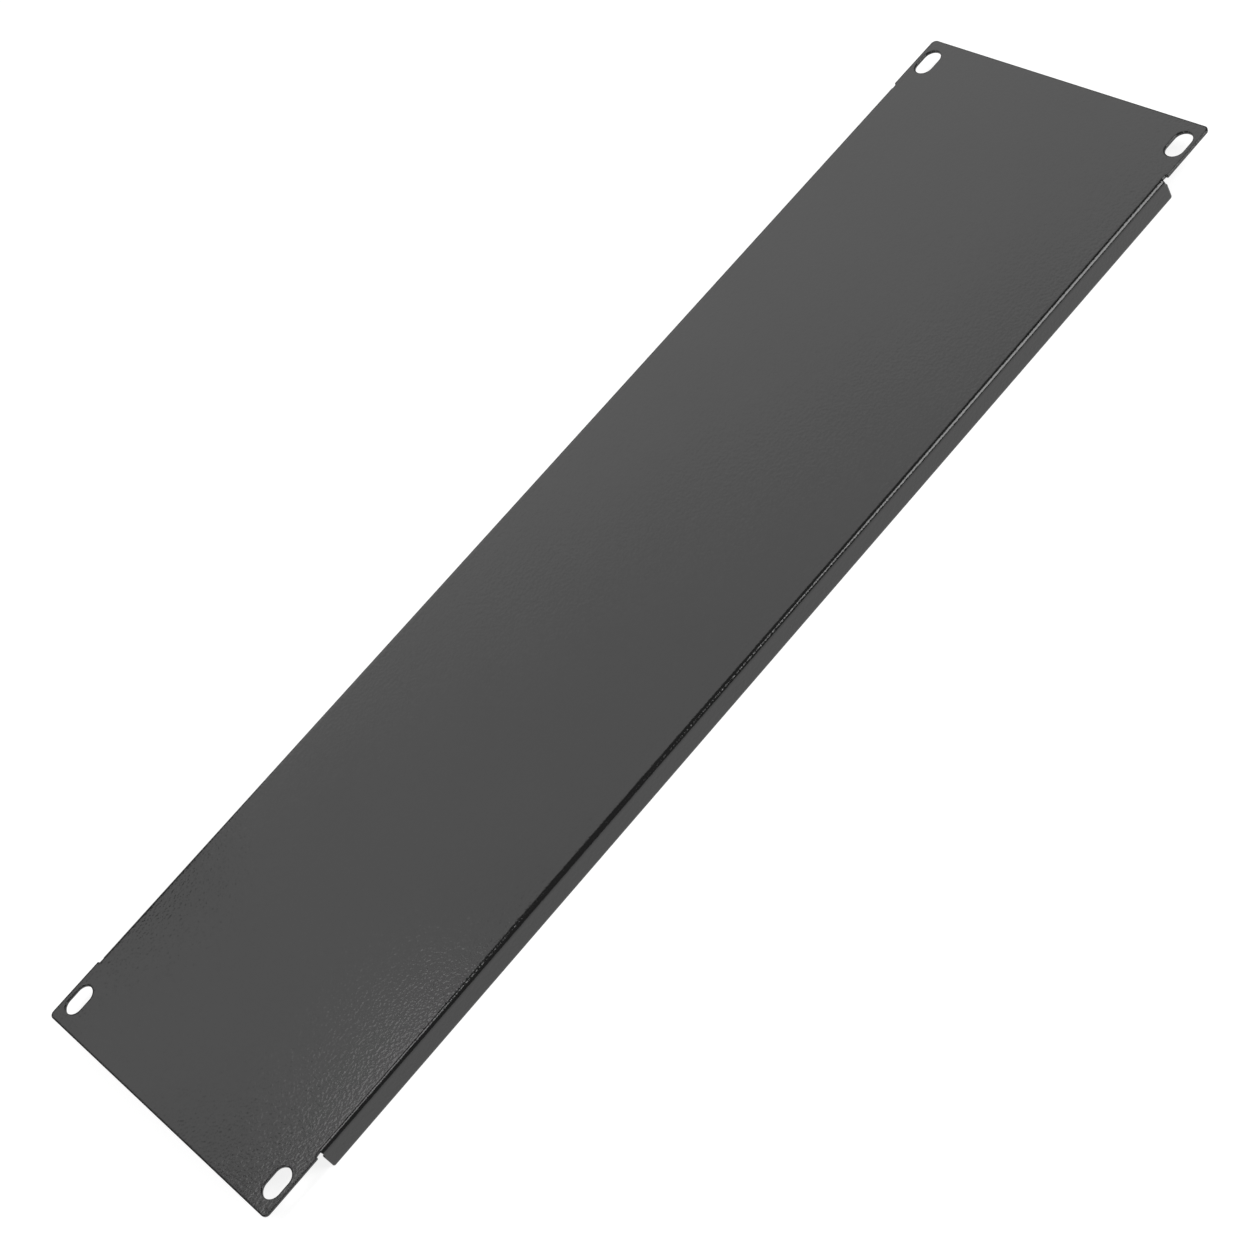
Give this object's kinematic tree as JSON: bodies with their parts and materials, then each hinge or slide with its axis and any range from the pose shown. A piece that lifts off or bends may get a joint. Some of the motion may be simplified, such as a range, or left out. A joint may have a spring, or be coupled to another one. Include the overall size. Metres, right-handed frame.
{
  "type": "rack blanking panel",
  "caption": "Long flat rack front panel folded from sheet steel, with bent-back long edges, bend reliefs, rounded corners and slotted ears.",
  "frame": {"origin": "middle of the panel, on the plane that the free edges of its two folds stand on", "axes": "+X along the panel from one ear to the other, +Y across its height in the rack, +Z out of its front face"},
  "size_m": [0.4826, 0.1324, 0.009],
  "materials": {
    "powder_coat": "satin black powder coat with a fine texture"
  },
  "bodies": {
    "root": {"blanking_panel": "powder_coat"}
  },
  "joints": []
}
